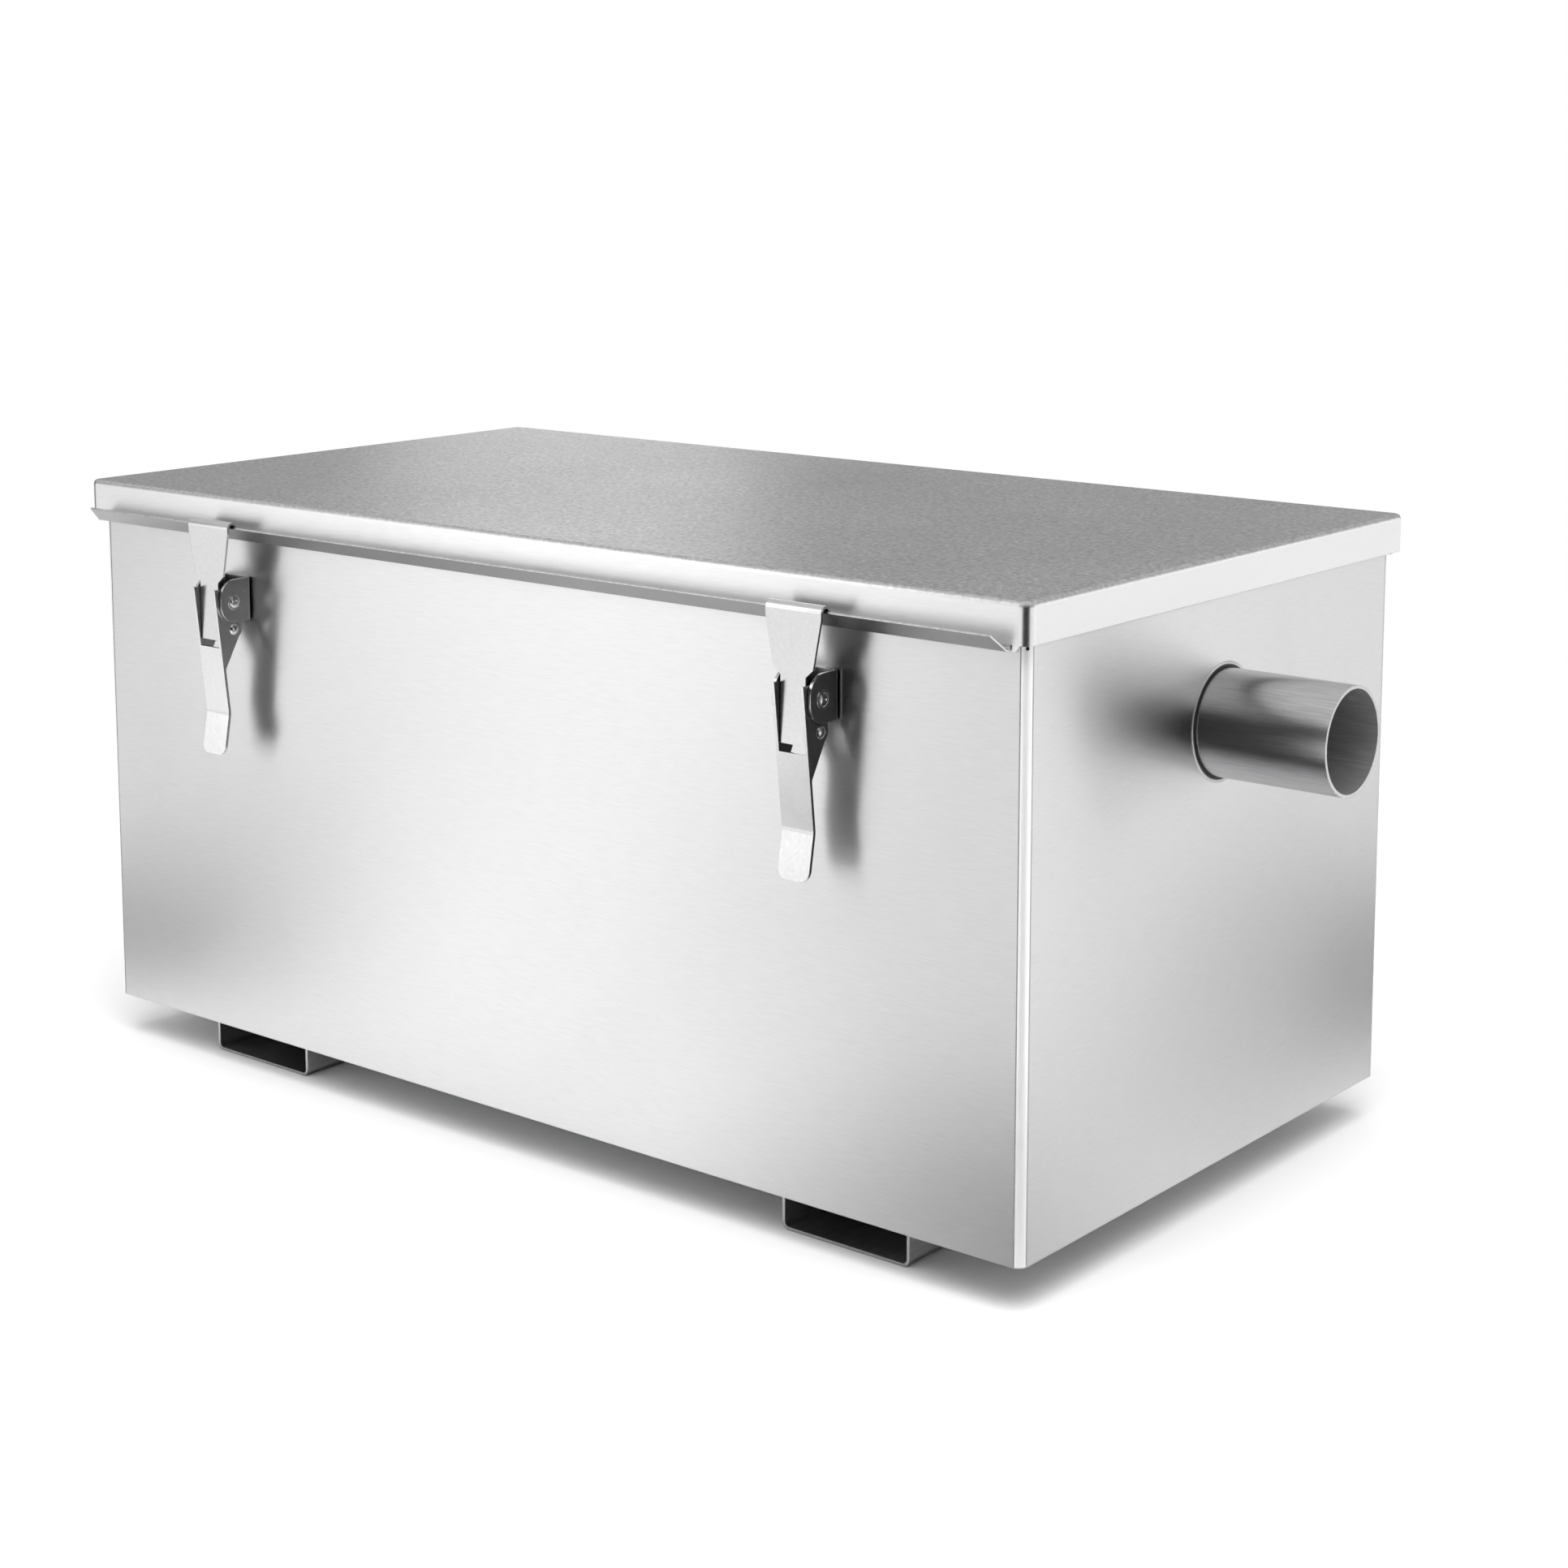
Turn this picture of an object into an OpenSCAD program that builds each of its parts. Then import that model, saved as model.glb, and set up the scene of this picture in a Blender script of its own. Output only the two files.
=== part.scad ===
// Stainless steel grease trap: a welded sheet tank on two channel feet, with a loose lid that
// four draw latches pull down on a rubber seal, and the basket, baffles and dip leg inside.
// Millimetres. The origin is on the floor under the middle of the tank.
// +X points out of the outlet pipe, -Y is the front and +Z is up.

/* [Tank] */
// Length of the tank from end wall to end wall, outside
tank_w = 600; // [480:10:800]
// Depth of the tank from front to back, outside
tank_d = 315; // [260:5:420]
// Height of the walls from the underside of the floor to the top of the flange
tank_h = 281.5; // [260:0.5:360]
// Thickness of the wall and floor sheet
wall_t = 1.2; // [0.8:0.1:2]
// Outside bend radius of the upright corners
corner_r = 4; // [3:0.5:8]
// Width of the flange that is folded inwards round the top
flange_w = 18; // [16:1:26]

/* [Lid] */
// Thickness of the lid sheet
lid_t = 1; // [0.8:0.1:1.5]
// Gap between an end wall and the rim that hangs over it
end_gap = 3.4; // [2:0.1:6]
// Gap between a long wall and the rim that hangs over it
long_gap = 5.3; // [3:0.1:8]
// Height of the rim on the two ends
end_rim_h = 18.5; // [14:0.5:20]
// Height of the rim on the two long sides
long_rim_h = 21.2; // [21:0.1:26]
// Outside radius of the bend between the lid's panel and its rim
lid_bend = 2.5; // [2:0.1:4]
// Radius of the lid's upright corners
lid_corner_r = 5; // [4.5:0.5:10]
// How far the latch lip reaches out from the rim
lip_reach = 9.7; // [8:0.1:12]
// Slope of the latch lip above the horizontal
lip_angle = 42; // [35:1:48]
// Inside radius of the fold between rim and lip
lip_bend = 1; // [0.5:0.1:1.5]
// How far the lip stops short of the lid's upright corners
lip_end = 4; // [3:0.5:8]
// How much further its free edge stops short
lip_slant = 3.8; // [2:0.2:6]
// Thickness of the rubber seal under the lid
seal_t = 4; // [2:0.5:6]
// Width of the rubber seal
seal_w = 13; // [8:1:14]

/* [Pipes] */
// Outside diameter of the inlet and outlet pipes
pipe_d = 50; // [40:1:60]
// Wall of the pipes
pipe_t = 1.5; // [1.2:0.1:3]
// Wall of the dip elbow inside the tank
elbow_t = 1; // [0.8:0.1:1.1]
// How far a pipe stands out from its end wall
pipe_out = 65; // [40:1:100]
// Depth of the pipe centres below the top of the lid
pipe_drop = 77.5; // [65:0.5:95]
// Inside radius of the dip elbow's bend
elbow_inner_r = 20; // [12:1:30]
// Straight stub between the wall and the dip elbow
elbow_stub = 10; // [6:1:20]
// Height of the dip leg's mouth above the tank floor
dip_gap = 55; // [35:1:80]

/* [Feet] */
// Width of a foot channel
foot_w = 72; // [50:1:90]
// Height of a foot channel
foot_h = 21; // [16:0.5:30]
// Thickness of the foot sheet
foot_t = 1.5; // [1:0.1:2.5]
// Outside radius of a foot's lower corners
foot_r = 4; // [3:0.5:7]
// Distance from an end wall to the middle of its foot
foot_end = 103; // [50:1:140]
// How far the feet stop short of the front and back walls
foot_inset = 12; // [0:1:30]

/* [Latches] */
// Distance from an end wall to the middle of its latch
latch_end = 108; // [40:1:160]
// Depth of the lever pivot below the free edge of the lip
pivot_drop = 39.2; // [38:0.1:46]
// Distance of the lever pivot from the tank wall
pivot_out = 11.5; // [11:0.1:13]
// How far the link pin lies behind the lever pivot
link_back = 1; // [0.5:0.1:1.5]
// How far the link pin lies below the lever pivot
link_drop = 14.7; // [14.5:0.1:16]
// Diameter of the rivets and the link pin
rivet_d = 4; // [3:0.1:4.5]
// Diameter of the domed heads
head_d = 6.2; // [5.6:0.1:6.4]
// Height of the domed heads
head_h = 1.4; // [1:0.1:1.8]
// Outside width of the lever
lever_w = 17.5; // [16:0.1:20]
// Thickness of the lever and bracket sheet
lever_t = 1.5; // [1.2:0.1:1.8]
// Length of the lever from its pivot down to the end of the handle
lever_len = 80; // [74:1:95]
// Lean of the closed lever towards the wall
lever_lean = 6.3; // [5:0.1:8]
// Outward bend of the handle
handle_kick = 16; // [10:1:24]
// Width of the hook where it grips the lip
hook_w = 30.6; // [26:0.2:36]
// Thickness of the hook sheet
hook_t = 1.2; // [1:0.1:1.3]
// Outside radius of the hook's curl
curl_r = 3.25; // [3.2:0.05:3.6]

/* [Inside] */
// Thickness of the baffle plates
baffle_t = 1.5; // [1:0.1:3]
// Place of the inlet baffle along the tank
inlet_baffle_x = -95; // [-100:1:-60]
// Place of the outlet baffle along the tank
outlet_baffle_x = 120; // [60:1:125]
// Depth of the baffles' top edge below the flange
baffle_drop = 50; // [45:1:80]
// Height of the passage under the outlet baffle
flow_h = 55; // [40:1:80]
// Width of the passage under the outlet baffle
flow_w = 180; // [100:5:190]
// How far the guide channels reach over the edges of the baffles
guide_lap = 10; // [6:1:14]
// Thickness of the guide and rail sheet
guide_t = 1.2; // [1:0.1:2]
// Length of the strainer basket along the tank
basket_l = 150; // [110:1:160]
// Depth of the strainer basket
basket_depth = 105; // [80:1:115]
// Thickness of the basket sheet
basket_t = 1; // [0.8:0.1:1.5]
// Width of the basket's strap handle
strap_w = 18; // [14:1:24]
// Thickness of the basket's strap handle
strap_t = 2; // [1.5:0.1:3]
// Height of the basket's handle above its rim
handle_h = 50; // [35:1:55]

/* [Hidden] */
$fn = 48;
bend_steps = 8;
// Room between pieces that slide past each other, and radial play of the running fits
side_clear = 0.35;
run_clear = 0.08;
set_clear = 0.02;
slot_clear = 0.5;

// Heights of the tank and the lid
tank_z = foot_h;
floor_z = tank_z + wall_t;
flange_z = tank_z + tank_h;
lid_under = flange_z + seal_t;
lid_top = lid_under + lid_t;
inner_w = tank_w - 2 * wall_t;
inner_d = tank_d - 2 * wall_t;
lid_w = tank_w + 2 * (end_gap + lid_t);
lid_d = tank_d + 2 * (long_gap + lid_t);
pipe_z = lid_top - pipe_drop;
pipe_bore = pipe_d - 2 * pipe_t;
hole_d = pipe_d - 2 * elbow_t;

// The lip: its flat length, and the upper corner of its free edge as [out from the wall, height]
rim_out = long_gap + lid_t;
fold_r = lip_bend + lid_t;
lip_flat = (lip_reach - lip_bend - fold_r * sin(lip_angle)) / cos(lip_angle);
lip_edge = [rim_out + lip_reach - lid_t * sin(lip_angle),
            lid_top - long_rim_h + fold_r * (1 - cos(lip_angle))
            + lip_flat * sin(lip_angle) + lid_t * cos(lip_angle)];

// The lip's overlap with the rim, and the round tab of the rim beyond each end of the lip
rim_lap = 3;
tab_slit = 0.8;
tab_r = 2.4;

// Latch heights and widths. Side views are drawn as [out, up] from the lever pivot.
pivot_z = lip_edge[1] - pivot_drop;
link = [-link_back, -link_drop];
curl_lead = 0.3;
curl_drop = 0.8;
curl = [lip_edge[0] + curl_lead - pivot_out, lip_edge[1] - curl_drop - pivot_z];
hook_face = curl[0] + curl_r;
cheek_in = lever_w / 2 - lever_t;
tongue_half = cheek_in - side_clear;
base_w = lever_w + 2 * (side_clear + lever_t);
ear_r = 9;
ear_top = 11.3;
ear_foot = 10.6;
ear_out = 8.5;
tip = [11.3, 7];
cheek_r = 6.5;
link_r = 5;
window_drop = 23.7;
cheek_drop = 35;
bend_drop = 57;
handle_bend_r = 8;
handle_end_r = 5;
tongue_drop = 20;
tongue_top = 10;
shoulder_top = 13.5;
shoulder_half = 10.9;
taper_top = 36;
tongue_ear_r = 4.2;
tongue_ear_h = 16;
hook_right = [[tongue_half, -tongue_drop], [tongue_half, tongue_top], [shoulder_half, shoulder_top],
              [hook_w / 2, taper_top], [hook_w / 2, curl[1] + 2 * curl_r]];
hook_left = [for (p = hook_right) [-p[0], p[1]]];

// Inside fittings
lift_half = tank_d / 2 - flange_w - 1.5;
baffle_half = lift_half;
guide_depth = inner_d / 2 - baffle_half + guide_lap;
baffle_top = flange_z - baffle_drop;
guide_slot = baffle_t + 2 * slot_clear;
guide_top = baffle_top - 15;
rail_h = 15;
basket_gap = 14;
basket_x = -inner_w / 2 + basket_gap;
basket_lap = 12;
basket_half = lift_half - basket_lap;
rail_w = inner_d / 2 - basket_half - 2;
basket_z = pipe_z - pipe_d / 2 - 8;
slot_w = 5;
slot_pitch = 15;
slot_margin = 14;
grip_w = 80;
grip_h = 22;
port_d = 24;
port_pitch = 44;
elbow_r = elbow_inner_r + pipe_d / 2;

steel = [0.80, 0.80, 0.81];
dull_steel = [0.66, 0.67, 0.68];
black_rubber = [0.09, 0.09, 0.10];

LATCH_PLACES = ["front_left", "front_right", "back_right", "back_left"];
LATCH_PIECES = ["bracket", "lever", "hook", "rivets", "pin"];

// One face of a folded sheet as a list of points, for bends of any angle. The steps are those of
// folded() below, and off is 0 for the face on the path or the thickness for the other one.
function left_of(h) = [-sin(h), cos(h)];
function fold_face(steps, t, off, at, h, i = 0) =
    i == len(steps) ? [at + off * left_of(h)] :
    let (turn = steps[i][1],
         c = turn > 0 ? t + steps[i][2] : -steps[i][2],
         end = at + steps[i][0] * [cos(h), sin(h)],
         hub = end + c * left_of(h),
         arc = turn == 0 ? [] : [for (k = [0:bend_steps - 1])
             hub + (off - c) * left_of(h + turn * k / bend_steps)])
    concat([at + off * left_of(h)], arc,
           fold_face(steps, t, off, hub - c * left_of(h + turn), h + turn, i + 1));
function backwards(points) = [for (i = [len(points) - 1:-1:0]) points[i]];
function fold_outline(steps, t, at, h) =
    concat(fold_face(steps, t, 0, at, h), backwards(fold_face(steps, t, t, at, h)));

// Ring sector of one bend, about its own centre: the sheet's inside radius, thickness and turn
module bend(r, t, turn) {
    start = turn > 0 ? -90 : 90 + turn;
    reach = 2 * (r + t);
    steps = 6;
    intersection() {
        difference() {
            circle(r + t);
            circle(r);
        }
        polygon(concat([[0, 0]], [for (i = [0:steps]) let (a = start + abs(turn) * i / steps)
            reach * [cos(a), sin(a)]]));
    }
}

// Section of a folded sheet. Each step is [flat length, turn to the left in degrees, inside radius].
// It starts at the origin along +x, with the sheet on the left of its path.
module folded(steps, t, i = 0) {
    if (i < len(steps)) {
        run = steps[i][0];
        turn = steps[i][1];
        r = steps[i][2];
        centre = turn > 0 ? t + r : -r;
        if (run > 0)
            square([run, t]);
        if (turn != 0)
            translate([run, centre]) bend(r, t, turn);
        translate([run, centre]) rotate(turn) translate([0, -centre]) folded(steps, t, i + 1);
    }
}

// Rectangle with round corners, about the origin
module round_rect(w, d, r) {
    square([w - 2 * r, d], center = true);
    square([w, d - 2 * r], center = true);
    for (x = [-1, 1], y = [-1, 1])
        translate([x * (w / 2 - r), y * (d / 2 - r)]) circle(r);
}

// Slot with round ends, upright from its lower end's centre
module round_slot(w, h) {
    translate([-w / 2, 0]) square([w, h - w]);
    circle(d = w);
    translate([0, h - w]) circle(d = w);
}

// Long wall: a sheet bent round both upright corners, with its top folded inwards
module long_wall(side) {
    color(steel) translate([0, 0, tank_z]) rotate(side > 0 ? 180 : 0) {
        linear_extrude(tank_h - wall_t) translate([-tank_w / 2, corner_r - tank_d / 2]) rotate(-90)
            folded([[0, 90, corner_r - wall_t], [tank_w - 2 * corner_r, 90, corner_r - wall_t]], wall_t);
        translate([0, 0, tank_h - wall_t]) linear_extrude(wall_t) intersection() {
            round_rect(tank_w, tank_d, corner_r);
            translate([-tank_w / 2, -tank_d / 2]) square([tank_w, flange_w]);
        }
    }
}

// End wall: a plate between the bends of the long walls, with its top folded inwards and a pipe hole
module end_wall(side) {
    width = tank_d - 2 * corner_r;
    flange_l = tank_d - 2 * flange_w;
    color(steel) rotate(side > 0 ? 0 : 180) difference() {
        union() {
            translate([inner_w / 2, -width / 2, tank_z]) cube([wall_t, width, tank_h - wall_t]);
            translate([tank_w / 2 - flange_w, -flange_l / 2, flange_z - wall_t])
                cube([flange_w, flange_l, wall_t]);
        }
        translate([tank_w / 2, 0, pipe_z]) rotate([0, 90, 0])
            cylinder(d = hole_d, h = 4 * wall_t, center = true);
    }
}

// Floor: let in between the walls, at their lower edges
module tank_floor() {
    color(steel) translate([0, 0, tank_z]) linear_extrude(wall_t)
        round_rect(inner_w, inner_d, corner_r - wall_t);
}

// Foot: a channel open at both ends, welded under the floor by its two edges
module foot(side) {
    length = tank_d - 2 * foot_inset;
    color(dull_steel) translate([side * (tank_w / 2 - foot_end), length / 2, 0]) rotate([90, 0, 0])
        linear_extrude(length) translate([-foot_w / 2, foot_h]) rotate(-90)
            folded([[foot_h - foot_r, 90, foot_r - foot_t], [foot_w - 2 * foot_r, 90, foot_r - foot_t],
                    [foot_h - foot_r, 0, 0]], foot_t);
}

// Pipe: a tube set on the outside of an end wall, over its hole
module pipe(side) {
    color(dull_steel) translate([side * (tank_w / 2 + pipe_out / 2), 0, pipe_z]) rotate([0, 90, 0])
        difference() {
            cylinder(d = pipe_d, h = pipe_out, center = true);
            cylinder(d = pipe_bore, h = pipe_out + 2, center = true);
        }
}

// Section of the dip elbow's tube
module tube_ring() {
    difference() {
        circle(d = pipe_d);
        circle(d = hole_d);
    }
}

// Dip elbow: takes the water from under the grease, through a leg that opens near the floor
module outlet_elbow() {
    leg_x = inner_w / 2 - elbow_stub - elbow_r;
    leg_top = pipe_z - elbow_r;
    leg_low = floor_z + dip_gap;
    color(dull_steel) {
        translate([inner_w / 2 - elbow_stub, 0, pipe_z]) rotate([0, 90, 0])
            linear_extrude(elbow_stub) tube_ring();
        translate([inner_w / 2 - elbow_stub, 0, leg_top]) rotate([90, 0, 0])
            rotate([0, 0, 90]) rotate_extrude(angle = 90) translate([elbow_r, 0]) tube_ring();
        translate([leg_x, 0, leg_low]) linear_extrude(leg_top - leg_low) tube_ring();
    }
}

// Section of the lid's edge, from a corner's axis out to the rim and down to its lower edge
module lid_edge() {
    translate([0, -lid_t]) folded([[lid_corner_r - lid_bend, -90, lid_bend - lid_t],
                                   [end_rim_h - lid_bend, 0, 0]], lid_t);
}

// Straight stretch of an edge section, along +y from the origin
module edge_run(length) {
    translate([0, length, 0]) rotate([90, 0, 0]) linear_extrude(length) children();
}

// On a long side the rim runs on downwards and folds out and up into the lip that the hooks grip
module lip_section() {
    start = [lid_corner_r - lid_t, rim_lap - end_rim_h];
    polygon(fold_outline([[long_rim_h - end_rim_h + rim_lap - fold_r, 90 + lip_angle, lip_bend],
                          [lip_flat, 0, 0]], lid_t, start, -90));
}

// The lip along one side: both its ends are cut on a slant, short of the corners
module lip_run(length) {
    far = lid_corner_r + lip_reach + 1;
    far_cut = lip_end + lip_slant * (lip_reach + 1) / lip_reach;
    near_cut = lip_end - lip_slant * lid_corner_r / lip_reach;
    difference() {
        edge_run(length) lip_section();
        for (end = [[0, 1], [length, -1]])
            translate([0, 0, -2 * long_rim_h]) linear_extrude(2 * long_rim_h)
                polygon([[0, end[0] - end[1]], [far, end[0] - end[1]], [far, end[0] + end[1] * far_cut],
                         [0, end[0] + end[1] * near_cut]]);
    }
}

// Between the lip's end and the corner the rim hangs down as a tab with a round corner
module rim_tab() {
    linear_extrude(lid_t) difference() {
        square([lip_end - tab_slit, long_rim_h - end_rim_h + rim_lap]);
        difference() {
            translate([-tab_r, -tab_r]) square(2 * tab_r);
            translate([tab_r, tab_r]) circle(tab_r);
        }
    }
}

module lid() {
    flat_w = lid_w - 2 * lid_corner_r;
    flat_d = lid_d - 2 * lid_corner_r;
    color(steel) translate([0, 0, lid_top]) {
        translate([0, 0, -lid_t / 2]) cube([flat_w, flat_d, lid_t], center = true);
        for (turn = [0, 180]) rotate(turn) {
            translate([flat_w / 2, -flat_d / 2, 0]) edge_run(flat_d) lid_edge();
            translate([flat_w / 2, flat_d / 2, 0]) rotate_extrude(angle = 90) lid_edge();
            translate([-flat_w / 2, flat_d / 2, 0]) rotate(90) rotate_extrude(angle = 90) lid_edge();
            translate([flat_w / 2, flat_d / 2, 0]) rotate(90) {
                edge_run(flat_w) lid_edge();
                lip_run(flat_w);
                translate([lid_corner_r - lid_t, 0, -long_rim_h]) rotate([90, 0, 90]) rim_tab();
                translate([lid_corner_r, flat_w, -long_rim_h]) rotate([90, 0, -90]) rim_tab();
            }
        }
    }
}

// Seal: a flat rubber frame between the flange and the lid
module lid_seal() {
    color(black_rubber) translate([0, 0, flange_z]) linear_extrude(seal_t) difference() {
        square([tank_w - 2 * (flange_w - seal_w), tank_d - 2 * (flange_w - seal_w)], center = true);
        square([tank_w - 2 * flange_w, tank_d - 2 * flange_w], center = true);
    }
}

// Baffle plate that slides down its guides, with a hand slot near the top
module baffle(x) {
    height = baffle_top - floor_z;
    color(steel) translate([x - baffle_t / 2, 0, floor_z]) rotate([90, 0, 90]) linear_extrude(baffle_t)
        difference() {
            translate([-baffle_half, 0]) square([2 * baffle_half, height]);
            translate([-(grip_w - grip_h) / 2, height - grip_h]) rotate(-90) round_slot(grip_h, grip_w);
            children();
        }
}

// The inlet baffle lets water through a row of ports above the sludge
module inlet_baffle() {
    ports = floor((2 * baffle_half - 2 * guide_depth - port_d) / port_pitch);
    baffle(inlet_baffle_x)
        for (i = [0:ports - 1])
            translate([(i - (ports - 1) / 2) * port_pitch, flow_h]) circle(d = port_d);
}

// The outlet baffle holds the grease back and lets water pass under it
module outlet_baffle() {
    baffle(outlet_baffle_x)
        translate([-flow_w / 2, -1]) square([flow_w, flow_h + 1]);
}

// Guide: an upright channel welded to a long wall, open towards the middle of the tank
module guide(x, side) {
    color(steel) translate([x, side * inner_d / 2, floor_z]) rotate(side > 0 ? 180 : 0)
        linear_extrude(guide_top - floor_z) difference() {
            translate([-guide_slot / 2 - guide_t, 0]) square([guide_slot + 2 * guide_t, guide_depth]);
            translate([-guide_slot / 2, guide_t]) square([guide_slot, guide_depth]);
        }
}

// Rail: an angle on a long wall that the basket's flange rests on
module basket_rail(side) {
    color(steel) translate([basket_x + basket_l / 2, side * inner_d / 2, basket_z - basket_t - rail_h])
        rotate(side > 0 ? 180 : 0) {
            translate([-basket_l / 2, 0, 0]) cube([basket_l, guide_t, rail_h]);
            translate([-basket_l / 2, 0, rail_h - guide_t]) cube([basket_l, rail_w, guide_t]);
        }
}

// Row of upright slots through two facing walls of the basket, along x about the origin
module slot_row(length, through) {
    count = floor((length - 2 * slot_margin) / slot_pitch) + 1;
    for (i = [0:count - 1])
        translate([(i - (count - 1) / 2) * slot_pitch, through / 2, -basket_depth + slot_margin + slot_w / 2])
            rotate([90, 0, 0]) linear_extrude(through) round_slot(slot_w, basket_depth - 2 * slot_margin);
}

module strainer_basket() {
    width = 2 * basket_half;
    floor_slot = (width - 4 * slot_margin) / 3;
    color(dull_steel) translate([basket_x + basket_l / 2, 0, basket_z]) difference() {
        union() {
            translate([-basket_l / 2, -basket_half, -basket_depth]) cube([basket_l, width, basket_depth]);
            translate([-basket_l / 2, -basket_half - basket_lap, -basket_t])
                cube([basket_l, width + 2 * basket_lap, basket_t]);
        }
        translate([-basket_l / 2 + basket_t, -basket_half + basket_t, -basket_depth + basket_t])
            cube([basket_l - 2 * basket_t, width - 2 * basket_t, basket_depth]);
        slot_row(basket_l, width + 2);
        rotate(90) slot_row(width, basket_l + 2);
        for (row = [-1:1])
            translate([0, row * (floor_slot + slot_margin) - floor_slot / 2 + slot_w / 2, -basket_depth - 1])
                for (i = [-4:4])
                    translate([i * (basket_l - 2 * slot_margin) / 8, 0, 0])
                        linear_extrude(basket_t + 2) round_slot(slot_w, floor_slot);
    }
}

// Handle: a flat strap bent over the basket and welded to the outsides of its two end walls
module basket_handle() {
    bend_r = 12;
    weld = 30;
    leg = weld + handle_h - bend_r;
    color(dull_steel) translate([basket_x + basket_l / 2, strap_w / 2, basket_z]) rotate([90, 0, 0])
        linear_extrude(strap_w) translate([-basket_l / 2, -weld]) rotate(90)
            folded([[leg, -90, bend_r], [basket_l - 2 * bend_r, -90, bend_r], [leg, 0, 0]], strap_t);
}

// Puts a latch piece, drawn about the lever pivot with its outside towards -y, in one of four places
module at_latch(i) {
    side = i % 2 == 0 ? -1 : 1;
    rotate(i < 2 ? 0 : 180) translate([side * (tank_w / 2 - latch_end), -tank_d / 2 - pivot_out, pivot_z])
        children();
}

// Extrudes a side view, drawn as [out, up], over a stretch of the latch's width
module across(from, to) {
    translate([to, 0, 0]) rotate([90, 0, -90]) linear_extrude(to - from) children();
}

// Extrudes a front view, drawn as [along, up], right through the latch
module through() {
    depth = 100;
    translate([0, depth / 2, 0]) rotate([90, 0, 0]) linear_extrude(depth) children();
}

// Hole along the latch's width at a point of the side view
module cross_hole(place, d) {
    translate([0, -place[0], place[1]]) rotate([0, 90, 0])
        cylinder(d = d, h = base_w + 2, center = true);
}

// Domed head on a face at x = 0, towards +x
module dome() {
    ball_r = (head_d * head_d / 4 + head_h * head_h) / (2 * head_h);
    rotate([0, 90, 0]) rotate_extrude() intersection() {
        translate([0, head_h - ball_r]) circle(ball_r, $fn = 96);
        square([head_d / 2, head_h]);
    }
}

// Bracket: a channel welded to the wall by its back, with two round-ended ears
module latch_bracket(i) {
    bracket_bend = lever_t / 2;
    bend_out = bracket_bend + lever_t;
    ear_flat = pivot_out + ear_out - bend_out;
    color(dull_steel) at_latch(i) difference() {
        intersection() {
            translate([base_w / 2, -ear_out, -ear_foot]) linear_extrude(ear_foot + ear_top) rotate(90)
                folded([[ear_flat, 90, bracket_bend], [base_w - 2 * bend_out, 90, bracket_bend],
                        [ear_flat, 0, 0]], lever_t);
            across(-base_w, base_w) {
                translate([-pivot_out, -ear_foot]) square([pivot_out + ear_out - ear_r, ear_foot + ear_top]);
                translate([ear_out - 2 * ear_r, ear_r - ear_foot])
                    square([2 * ear_r, ear_foot + ear_top - 2 * ear_r]);
                for (z = [ear_r - ear_foot, ear_top - ear_r])
                    translate([ear_out - ear_r, z]) circle(ear_r);
            }
        }
        cross_hole([0, 0], rivet_d + 2 * set_clear);
    }
}

// Front line of the lever's side view: how far out it lies at a height from the pivot
function lever_front(z) = tip[0] - tan(lever_lean) * (tip[1] - z);
function lever_back(z) = lever_front(z) - lever_t / cos(lever_lean);

// The handle goes on from the lower end of the cheeks, down and then outwards
cheek_end = [lever_back(-cheek_drop), -cheek_drop];
handle = [[(bend_drop - cheek_drop) / cos(lever_lean), handle_kick, handle_bend_r], [lever_len, 0, 0]];
handle_back = fold_face(handle, lever_t, 0, cheek_end, -90 - lever_lean);
handle_front = fold_face(handle, lever_t, lever_t, cheek_end, -90 - lever_lean);

// Side view of the lever: cheek and handle in one outline, whose corners lie inside the round ends
module lever_side() {
    inside = 0.95;
    polygon(concat([tip, inside * cheek_r * [-0.3, 0.95], inside * cheek_r * [-1, 0],
                    link - inside * link_r * [1, 0], link + inside * link_r * [cos(225), sin(225)]],
                   handle_back, backwards([for (i = [1:len(handle_front) - 1]) handle_front[i]])));
    circle(cheek_r);
    translate(link) circle(link_r);
}

// What is taken out between the cheeks: the window over the web, and the space behind it
module lever_hollow() {
    clear = 30;
    polygon([cheek_end, [lever_back(-window_drop), -window_drop], [clear, -window_drop], [clear, clear],
             [-clear, clear], [-clear, -cheek_drop - 1]]);
}

// Front view of the lever, with round corners at the end of the handle
module lever_outline() {
    translate([0, -lever_len / 2]) round_rect(lever_w, lever_len, handle_end_r);
    translate([-lever_w / 2, -lever_len / 2]) square([lever_w, lever_len]);
}

// Lever: two cheeks on a web that runs on as the handle
module latch_lever(i) {
    color(steel) at_latch(i) difference() {
        intersection() {
            across(-lever_w / 2, lever_w / 2) lever_side();
            through() lever_outline();
        }
        across(-cheek_in, cheek_in) lever_hollow();
        cross_hole([0, 0], rivet_d + 2 * run_clear);
        cross_hole(link, rivet_d + 2 * set_clear);
    }
}

module tongue_ear() {
    polygon([[hook_face, -tongue_drop], [hook_face, tongue_ear_h - tongue_drop],
             link + [0, tongue_ear_r], link - [0, tongue_ear_r]]);
    translate(link) circle(tongue_ear_r);
}

// Hook: a plate curled over the lip, with a tongue whose two ears turn on the link pin
module latch_hook(i) {
    color(steel) at_latch(i) difference() {
        union() {
            intersection() {
                across(-hook_w / 2, hook_w / 2) translate([hook_face, -tongue_drop]) rotate(90)
                    folded([[curl[1] + tongue_drop, 180, curl_r - hook_t]], hook_t);
                through() polygon(concat(hook_right, backwards(hook_left)));
            }
            across(-tongue_half, -tongue_half + hook_t) tongue_ear();
            across(tongue_half - hook_t, tongue_half) tongue_ear();
        }
        cross_hole(link, rivet_d + 2 * run_clear);
    }
}

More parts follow.
